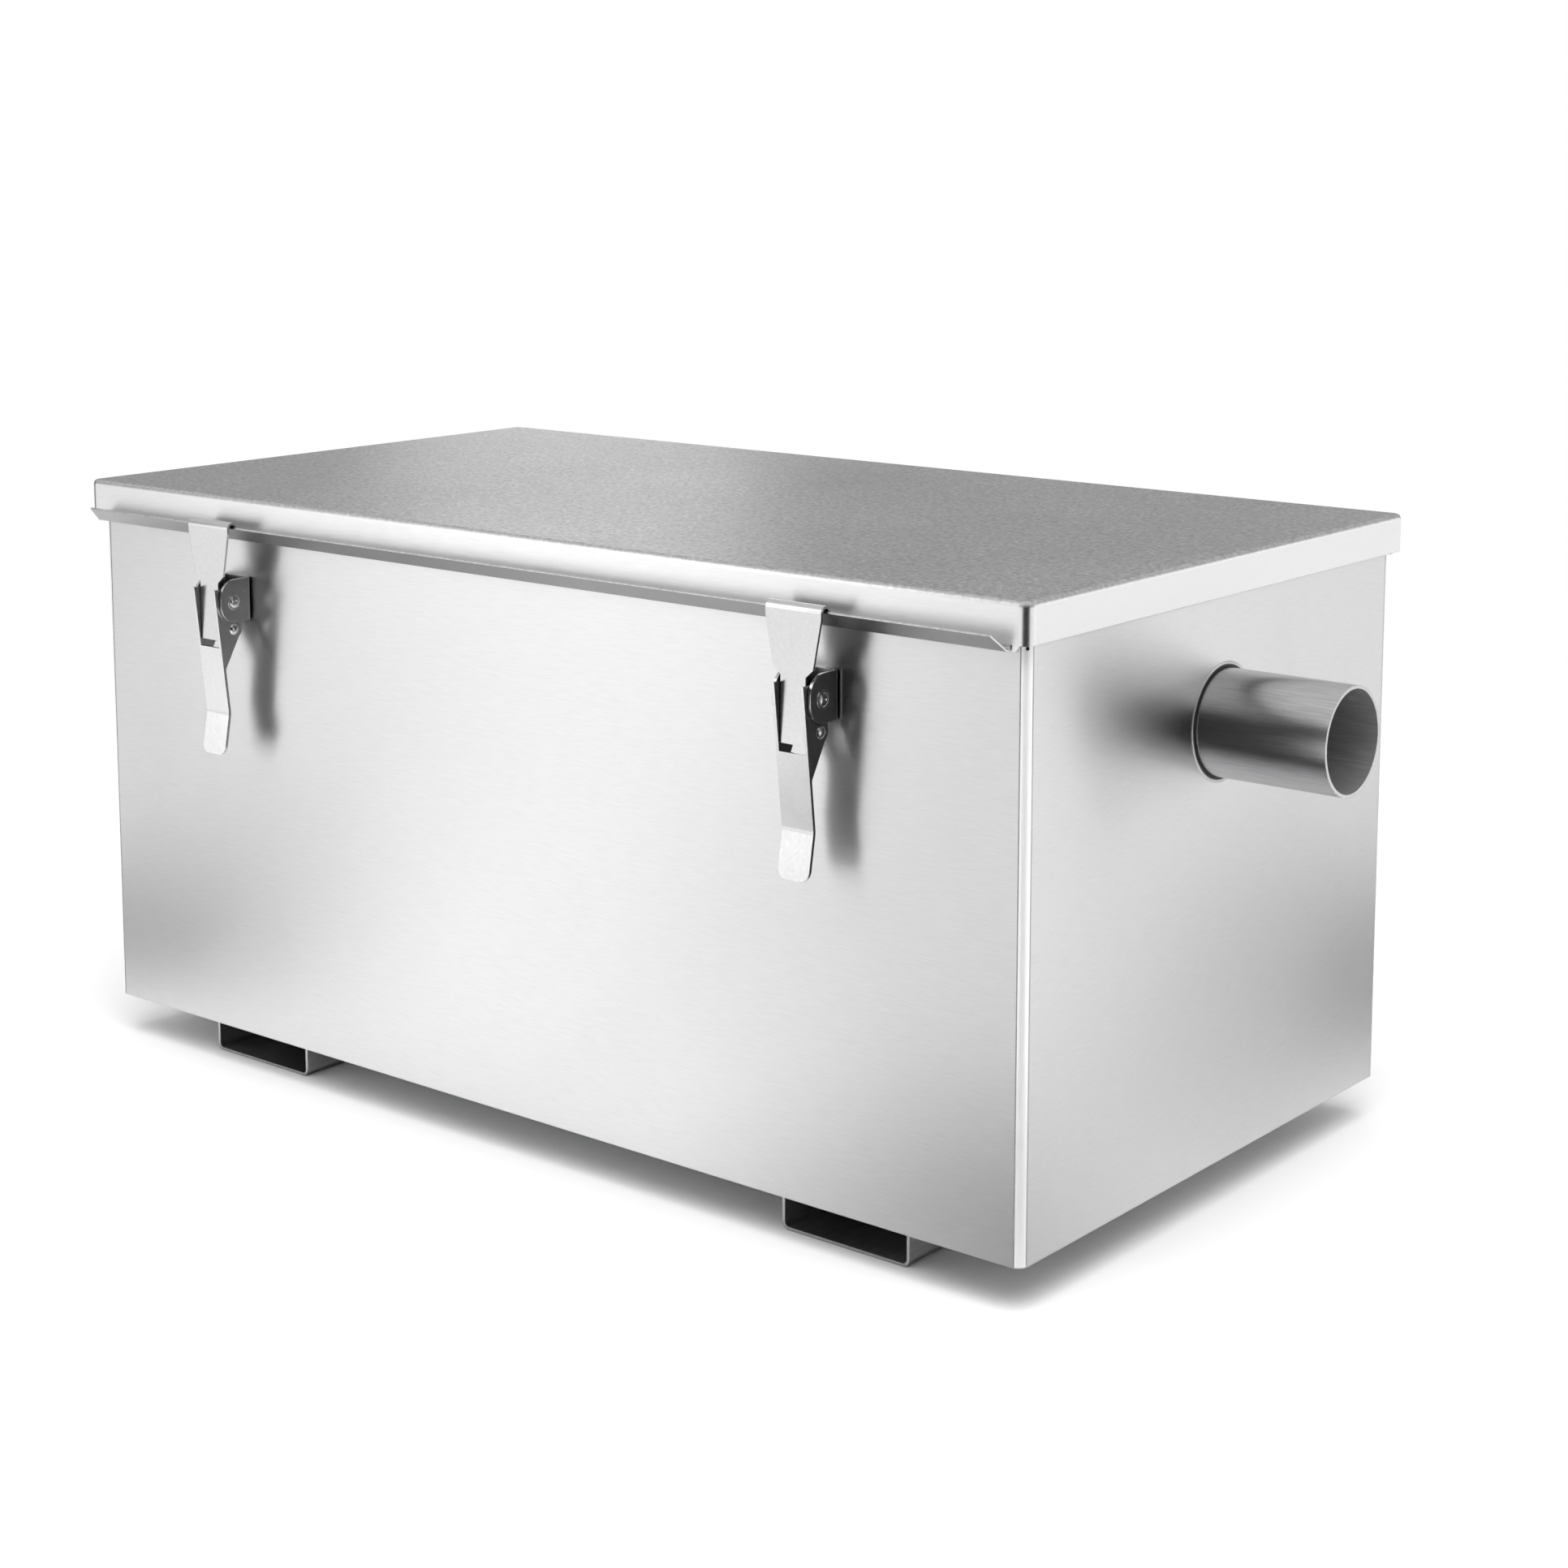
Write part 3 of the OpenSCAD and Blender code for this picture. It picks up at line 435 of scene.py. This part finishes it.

# %% [markdown]
# ## Steel finishes
#
# All the metal is the same stainless, but each piece was finished differently: belt-brushed walls and
# lid, mill-rolled pipe and feet, tumbled latches. One function builds the shader for all of them: the
# grain, the marks and the face's shade set its colour, roughness and relief, and the shader's own
# anisotropy smears the reflection across the scratches. A bevel node rounds the look of cut sheet
# edges, so that they catch the light as real deburred edges do. An ambient occlusion node darkens the
# colour in crevices and where parts meet, which is painted shade.

# %% Steel builder


def steel(name, tone, rough, stretch, scratches=None, anisotropy=0.0, streak=0.08, patches=6.0, swing=0.06,
          edge=0.4, marks_size=9.0, marked=0.5, cavity=8.0, speckle=0.0, under=0.0, back=0.0, metal=1.0):
    """Stainless steel. tone is its colour, stretch squeezes the grain along x, y and z, scratches is the
    direction the belt ran, and anisotropy how strongly it draws the reflection out, along the normal
    crossed with that direction. streak is how much darker the grain gets, patches the scale of its clouds
    and swing what they do to the roughness. edge is the radius of deburred edges and cavity the reach of
    the painted crevice shade, both in millimetres. marks_size and marked are the scale and strength of
    handling marks; speckle is for tops, and under and back paint shade on undersides and on faces turned
    to the tank's middle. metal below 1 is for a coarsely ground face, which scatters part of the light all ways."""
    mat = bpy.data.materials.new(name)
    mat.use_nodes = True
    t = mat.node_tree
    bsdf = t.nodes["Principled BSDF"]
    bsdf.inputs["Metallic"].default_value = metal
    bsdf.inputs["Anisotropic"].default_value = anisotropy
    coord = node(t, "ShaderNodeTexCoord").outputs
    brushed, handled, shaded = (node(t, "ShaderNodeGroup", node_tree=g) for g in (grain, marks, faces))
    for group, key, value in ((brushed, "Stretch", stretch), (brushed, "Patches", patches),
                              (handled, "Size", marks_size), (shaded, "Speckle", speckle),
                              (shaded, "Under", under), (shaded, "Back", back)):
        group.inputs[key].default_value = value
    wire(t, *((coord["Object"], group.inputs["Vector"]) for group in (brushed, handled, shaded)),
         (coord["Normal"], shaded.inputs["Normal"]), (brushed.outputs["Speck"], shaded.inputs["Speck"]))

    colour = node(t, "ShaderNodeMix", data_type="RGBA", A=(*(c * (1 - streak) for c in tone), 1), B=(*tone, 1))
    darker = node(t, "ShaderNodeMix", data_type="RGBA", blend_type="MULTIPLY", Factor=1.0)
    # painted shade: ambient occlusion darkens the base colour in crevices and where parts meet
    crevice = node(t, "ShaderNodeAmbientOcclusion", samples=4, Distance=cavity * MM)
    painted_crevice_shade = node(t, "ShaderNodeMapRange", From_Min=0.15, From_Max=0.75, To_Min=0.25, To_Max=1.0)
    wire(t, (crevice.outputs["AO"], painted_crevice_shade.inputs["Value"]), (brushed.outputs["Streak"], colour.inputs["Factor"]),
         (maths(t, "MULTIPLY", painted_crevice_shade.outputs[0], shaded.outputs["Shade"]), darker.inputs["B"]),
         (colour.outputs["Result"], darker.inputs["A"]), (darker.outputs["Result"], bsdf.inputs["Base Color"]))

    patchy = maths(t, "MULTIPLY_ADD", brushed.outputs["Patch"], 2.5 * swing, rough - 1.25 * swing)
    smeared = maths(t, "MULTIPLY_ADD", handled.outputs["Smear"], 0.06 * marked, patchy)
    wire(t, (maths(t, "MULTIPLY_ADD", handled.outputs["Scratch"], 0.10 * marked, smeared), bsdf.inputs["Roughness"]))

    rounded = node(t, "ShaderNodeBevel", samples=4, Radius=edge * MM)
    bump = node(t, "ShaderNodeBump", Strength=0.04, Distance=0.0002)
    wire(t, (rounded.outputs[0], bump.inputs["Normal"]), (brushed.outputs["Streak"], bump.inputs["Height"]),
         (bump.outputs[0], bsdf.inputs["Normal"]))
    if scratches:
        across = node(t, "ShaderNodeVectorMath", operation="CROSS_PRODUCT")
        across.inputs[1].default_value = scratches
        nudge = node(t, "ShaderNodeVectorMath", operation="ADD")
        nudge.inputs[1].default_value = (0.01, 0.05, 0.03)
        wire(t, (node(t, "ShaderNodeNewGeometry").outputs["True Normal"], across.inputs[0]),
             (across.outputs[0], nudge.inputs[0]), (nudge.outputs[0], bsdf.inputs["Tangent"]))
    return mat


# %% Wall, lid, pipe, foot, latch and inner steels
WALL_TONE, LID_TONE = (0.73, 0.73, 0.735), (0.87, 0.87, 0.875)
LENGTHWISE, CROSSWISE, UPRIGHT = (1.0, 0.0, 0.0), (0.0, 1.0, 0.0), (0.0, 0.0, 1.0)
wall_steel = steel("wall_steel", WALL_TONE, 0.31, (90, 90, 2400), LENGTHWISE, 0.82, edge=1.2)
end_steel = steel("end_steel", WALL_TONE, 0.31, (90, 90, 2400), CROSSWISE, 0.82, edge=1.2)
# under darkens the lid's undersides: painted shade
lid_steel = steel("lid_steel", LID_TONE, 0.34, (90, 2400, 2400), LENGTHWISE, 0.55, edge=0.5, cavity=3.0,
                  speckle=0.48, under=0.6)
pipe_steel = steel("pipe_steel", (0.68, 0.68, 0.69), 0.26, (50, 1100, 1100), streak=0.22, patches=40,
                   swing=0.03, edge=0.3, marks_size=120, marked=0.0, cavity=2.0)
foot_steel = steel("foot_steel", (0.56, 0.56, 0.57), 0.36, (500, 60, 500), streak=0.15, patches=25,
                   swing=0.10, edge=0.5)
# back darkens the latch faces turned to the tank's middle: painted shade
latch_steel = steel("latch_steel", (0.74, 0.74, 0.745), 0.24, (600, 600, 600), streak=0.06, patches=60,
                    swing=0.05, edge=0.3, marks_size=60, marked=0.2, cavity=6.0, back=0.7)
# painted highlight: a paler tone and a partly scattering finish keep the ground corner strip bright
ground_highlight_steel = steel("ground_highlight_steel", (0.92, 0.92, 0.925), 0.36, (2400, 2400, 90), UPRIGHT, 0.5, edge=0.1,
                     cavity=2.0, metal=0.35)
inner_steel = steel("inner_steel", (0.70, 0.70, 0.71), 0.36, (300, 300, 300), streak=0.08)
print("steels:", [m.name for m in bpy.data.materials if m.name.endswith("steel")])

# %% [markdown]
# ## Scale inside the pipes
#
# A pipe's bore is never polished: drawing and welding leave a dull grey scale there, which scatters
# light instead of mirroring it. The scale could be a liner of its own, but the pipe's wall already has
# an inner face, and the face's direction finds it: inside, the normal points towards the pipe's axis.
# There the material trades part of its metal shine for plain scattering.

# %% Dull bore
SCALE_SHARE = 0.2
PIPE_LOW, PIPE_HIGH = (np.array(v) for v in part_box("outlet_pipe"))
PIPE_Z = float(PIPE_LOW[2] + PIPE_HIGH[2]) / 2
tree = pipe_steel.node_tree
coord = node(tree, "ShaderNodeTexCoord").outputs
from_axis = node(tree, "ShaderNodeVectorMath", operation="SUBTRACT")
radial = node(tree, "ShaderNodeVectorMath", operation="MULTIPLY")
facing = node(tree, "ShaderNodeVectorMath", operation="DOT_PRODUCT")
from_axis.inputs[1].default_value = (0.0, 0.0, PIPE_Z)
radial.inputs[1].default_value = (0.0, 1.0, 1.0)
wire(tree, (coord["Object"], from_axis.inputs[0]), (from_axis.outputs[0], radial.inputs[0]),
     (radial.outputs[0], facing.inputs[0]), (coord["Normal"], facing.inputs[1]))
inside = maths(tree, "LESS_THAN", facing.outputs["Value"], -0.001)
shine = maths(tree, "MULTIPLY_ADD", inside, -SCALE_SHARE, 1.0)
wire(tree, (shine, tree.nodes["Principled BSDF"].inputs["Metallic"]))
print("pipe axis at height", round(PIPE_Z, 4))

# %% [markdown]
# ## Seal rubber and painted shade
#
# The seal is matte black rubber with a bloom of dust, and only its edge shows. The thin line round the
# pipe where it meets the wall and the relief holes at the corners get painted shade: a near-black
# finish stands for the dark inside of the gap and of the hole. The dark line along each corner seam is
# painted shade as well.

# %% Rubber and painted shades


def dark_finish(name, low, high, scale, rough):
    """Dark, matte material: noise of one scale mixes two near-black tones (rubber, and painted shade)."""
    mat = bpy.data.materials.new(name)
    mat.use_nodes = True
    t = mat.node_tree
    bsdf = t.nodes["Principled BSDF"]
    coord = node(t, "ShaderNodeTexCoord")
    dust = node(t, "ShaderNodeTexNoise", Scale=scale, Detail=4.0)
    shade = node(t, "ShaderNodeMix", data_type="RGBA")
    shade.inputs["A"].default_value = (*low, 1)
    shade.inputs["B"].default_value = (*high, 1)
    bsdf.inputs["Roughness"].default_value = rough
    wire(t, (coord.outputs["Object"], dust.inputs["Vector"]), (dust.outputs["Fac"], shade.inputs["Factor"]),
         (shade.outputs["Result"], bsdf.inputs["Base Color"]))
    return mat


rubber = dark_finish("seal_rubber", (0.012, 0.012, 0.013), (0.035, 0.035, 0.036), 400.0, 0.75)
# painted shade: near-black for the gap round each pipe and the corner relief holes
painted_recess_shade = dark_finish("painted_recess_shade", (0.006, 0.006, 0.006), (0.030, 0.026, 0.022), 300.0, 0.6)
# painted shade: the thin dark line where each corner bend starts
painted_seam_shade = dark_finish("painted_seam_shade", (0.14, 0.14, 0.14), (0.28, 0.28, 0.28), 300.0, 0.5)
print("dark finishes:", rubber.name, painted_recess_shade.name, painted_seam_shade.name)

# %% Finishes on the CAD nodes
FINISHES = {
    "tank_front": wall_steel, "tank_back": wall_steel, "tank_inlet_end": end_steel, "tank_outlet_end": end_steel,
    "lid": lid_steel, "lid_seal": rubber, "inlet_pipe": pipe_steel, "outlet_pipe": pipe_steel,
    "foot_left": foot_steel, "foot_right": foot_steel,
}
LATCH_PIECES = ("bracket", "lever", "hook", "rivets", "pin")
for name, piece in nodes.items():
    finish = latch_steel if name.split("_")[-1] in LATCH_PIECES else FINISHES.get(name, inner_steel)
    piece.data.materials.clear()
    piece.data.materials.append(finish)
print("finishes on", len(nodes), "nodes")

# %% [markdown]
# ## Pipe joints
#
# Each pipe meets a hole whose edge was drawn out a little, and is welded from inside. Outside
# there remains a low bright collar and, against the pipe, a thin crevice, painted near-black as painted
# shade. Both are rings: an ellipse carried round the pipe's axis, half sunk in the wall.

# %% Collars and crevices
PIPE_R = (PIPE_HIGH[2] - PIPE_LOW[2]) / 2 / MM


def ring_section(out, radius, half_out, half_wide, steps=20):
    """Ellipse in the (x, r) plane: x = out + half_out cos b, r = radius + half_wide sin b."""
    b = np.linspace(0, 2 * np.pi, steps, endpoint=False)
    return np.stack([out + half_out * np.cos(b), radius + half_wide * np.sin(b)], axis=-1)


for end, wall_x in (("outlet", PIPE_LOW[0]), ("inlet", -PIPE_LOW[0])):
    centre = (wall_x, 0.0, PIPE_Z)
    rings = (("collar", ring_section(0.0, PIPE_R + 1.9, 0.40, 0.80), end_steel),
             ("crevice", ring_section(0.0, PIPE_R + 0.55, 0.30, 0.75), painted_recess_shade))
    for part, section, finish in rings:
        mesh = grid_mesh(f"{end}_{part}", turned(section, centre, 128), round_rows=True, round_cols=True)
        ring = place(f"{end}_{part}", mesh, finish)
        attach(ring, "tank")
print("joint rings at", round(PIPE_LOW[0], 4), "m from the middle, height", round(PIPE_Z, 4))

# %% [markdown]
# ## Pivot rivets
#
# The lever turns on two rivets, one in each ear of the bracket. The photograph shows a washer under
# the domed head and a punched dimple in it. CAD has only plain domes, so each rivet is turned again
# here from a finer profile, and stands for the plain one.

# %% Rivets with washer and dimple
SHANK_AND_WASHER = [(-3.35, 0), (-3.35, 2.0), (0, 2.0), (0, 4.3), (0.32, 4.3), (0.45, 4.15), (0.45, 3.25)]
DOME = [(0.62, 3.08), (0.88, 2.75), (1.12, 2.2), (1.30, 1.55), (1.38, 1.10)]
DIMPLE = [(1.34, 0.92), (1.10, 0.62), (0.98, 0.30), (0.95, 0)]
RIVET_PROFILE = np.array(SHANK_AND_WASHER + DOME + DIMPLE)
LATCH_PLACES = ("front_left", "front_right", "back_right", "back_left")
for latch in LATCH_PLACES:
    low, high = (np.array(v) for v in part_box(f"{latch}_bracket"))
    rivet_low, rivet_high = (np.array(v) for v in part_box(f"{latch}_rivets"))
    middle = (rivet_low + rivet_high) / 2
    half = (high[0] - low[0]) / 2
    pair = []
    for way in (-1, 1):
        seat = (middle[0] + way * half, middle[1], middle[2])
        points = turned(RIVET_PROFILE * (way, 1), seat, 40)
        pair.append(grid_mesh(f"{latch}_rivet", points, round_cols=True, sharp=30))
    rivets = place(f"{latch}_rivet_pair", joined(f"{latch}_rivet_pair", pair), latch_steel)
    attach(rivets, "tank")
    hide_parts(f"{latch}_rivets")
print("rivets at", [round(c, 4) for c in middle])

# %% [markdown]
# ## Foot welds
#
# The feet are welded under the floor with short stitches along both edges. A stitch is a row of
# overlapping puddles, so it is a round section carried along the edge whose radius swells and dips
# with every puddle and closes to a point at both ends.

# %% Stitch beads
STITCH_HALF, STITCH_R = 19.0, 1.5
STITCH_OUT, STITCH_DOWN = 0.5, 0.6
STITCH_PLACES = (-0.72, 0.0, 0.72)


def stitch(x, y0, y1, z, radius, puddle=2.2):
    """Bead along Y: a circle of radius r(s) carried from y0 to y1. r(s) is the full radius times a ripple,
    0.88 + 0.12 |cos(pi s / puddle)|, times a round end, the root of 1 - (1 - s / 3)^2 near each end."""
    s = np.linspace(0, y1 - y0, 120)
    ends = np.clip(np.minimum(s, y1 - y0 - s) / 3.0, 0, 1)
    r = radius * (0.88 + 0.12 * np.abs(np.cos(np.pi * s / puddle))) * np.sqrt(1 - (1 - ends) ** 2)
    a = np.linspace(0, 2 * np.pi, 14, endpoint=False)
    r, along = r[:, None], (y0 + s)[:, None]
    return np.stack([x + r * np.cos(a), along + 0 * a, z + r * np.sin(a)], axis=-1) * MM


for foot in ("foot_left", "foot_right"):
    low, high = (np.array(v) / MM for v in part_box(foot))
    beads = []
    for edge_x in (low[0] - STITCH_OUT, high[0] + STITCH_OUT):
        for y in (part * high[1] for part in STITCH_PLACES):
            points = stitch(edge_x, y - STITCH_HALF, y + STITCH_HALF, high[2] - STITCH_DOWN, STITCH_R)
            beads.append(grid_mesh(f"{foot}_stitch", points, round_cols=True))
    welds = place(f"{foot}_welds", joined(f"{foot}_welds", beads), foot_steel)
    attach(welds, "tank")
print("stitches:", 2 * len(beads))

# %% [markdown]
# ## Corner seams
#
# The long walls are bent round the upright corners and welded to the ends there. The seam is ground
# flush with upright scratches. A paler strip there, with a partly scattering finish, is a painted
# highlight on the bend, and a thin dark line where the bend starts is painted shade. Both are slim
# shells that follow the bend, a few hundredths of a millimetre proud: part of a ring section, carried
# straight up.

# %% Ground strips and their lines
wall_low, wall_high = (np.array(v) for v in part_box("tank_front"))
CORNER_R = 0.004
CORNER_X, CORNER_Y = wall_high[0] - CORNER_R, -wall_low[1] - CORNER_R
SEAM_LOW, SEAM_TOP = wall_low[2] + 0.0006, 0.2895
CORNERS = ((1, -1, "front_right"), (1, 1, "back_right"), (-1, 1, "back_left"), (-1, -1, "front_left"))


def corner_strip(sx, sy, first, last, proud, low, high):
    """Shell round an upright corner: the ring between radius R - 0.3 mm and R + proud, from the first
    angle to the last (0 is the long wall, 90 the end), carried from one height to another and closed."""
    a = np.radians(np.linspace(first, last, 14))
    a = np.concatenate([a, a[::-1]])
    r = np.where(np.arange(28) < 14, CORNER_R + proud, CORNER_R - 0.0003)
    loop = np.stack([sx * (CORNER_X + r * np.sin(a)), sy * (CORNER_Y + r * np.cos(a))], axis=-1)
    middle = np.broadcast_to(loop[[7, 20]].mean(axis=0), loop.shape)
    levels = ((middle, low), (loop, low), (loop, high), (middle, high))
    return np.stack([np.column_stack([flat, np.full(28, z)]) for flat, z in levels])


for sx, sy, corner in CORNERS:
    for part, first, last, proud, finish in (("ground_seam_highlight", 9, 84, 0.00003, ground_highlight_steel),
                                             ("seam_line", 0, 9, 0.00002, painted_seam_shade)):
        points = corner_strip(sx, sy, first, last, proud, SEAM_LOW, SEAM_TOP)
        mesh = grid_mesh(f"{corner}_{part}", points, round_cols=True, sharp=60)
        strip = place(f"{corner}_{part}", mesh, finish)
        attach(strip, "tank")
print("corner strips:", len(CORNERS), "of", round(SEAM_TOP - SEAM_LOW, 4), "m")

# %% [markdown]
# ## Corner relief holes
#
# Where three folds meet, a fabricator drills a small hole first so that the sheet doesn't tear. One
# shows as a dark dot at the top of the upright corner, just under the lid. It is a small disc bent to
# the corner's radius, a hair proud of the sheet, painted near-black as the hole's shade.

# %% Relief dots
DOT_R, DOT_PROUD = 0.0008, 0.00008
DOT_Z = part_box("lid")[0][2] + 0.0005
rho, ang = np.meshgrid(np.linspace(0, DOT_R, 5), np.linspace(0, 2 * np.pi, 24, endpoint=False), indexing="ij")
across, up = rho * np.cos(ang), rho * np.sin(ang)
for i, (sx, sy, _) in enumerate(CORNERS):
    normal = np.array([sx, sy, 0]) / math.sqrt(2)
    tangent = np.array([-sy, sx, 0]) / math.sqrt(2)
    axis = np.array([sx * CORNER_X, sy * CORNER_Y, 0])
    height = CORNER_R + DOT_PROUD - across ** 2 / (2 * CORNER_R)
    points = axis + height[..., None] * normal + across[..., None] * tangent
    points[..., 2] += DOT_Z + up
    dot = place(f"corner_relief_{i}", grid_mesh(f"corner_relief_{i}", points, round_cols=True), painted_recess_shade)
    if dot.data.polygons[0].normal.dot(Vector(normal)) < 0:
        dot.data.flip_normals()
    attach(dot, "tank")
print("relief dots at height", round(DOT_Z, 4))
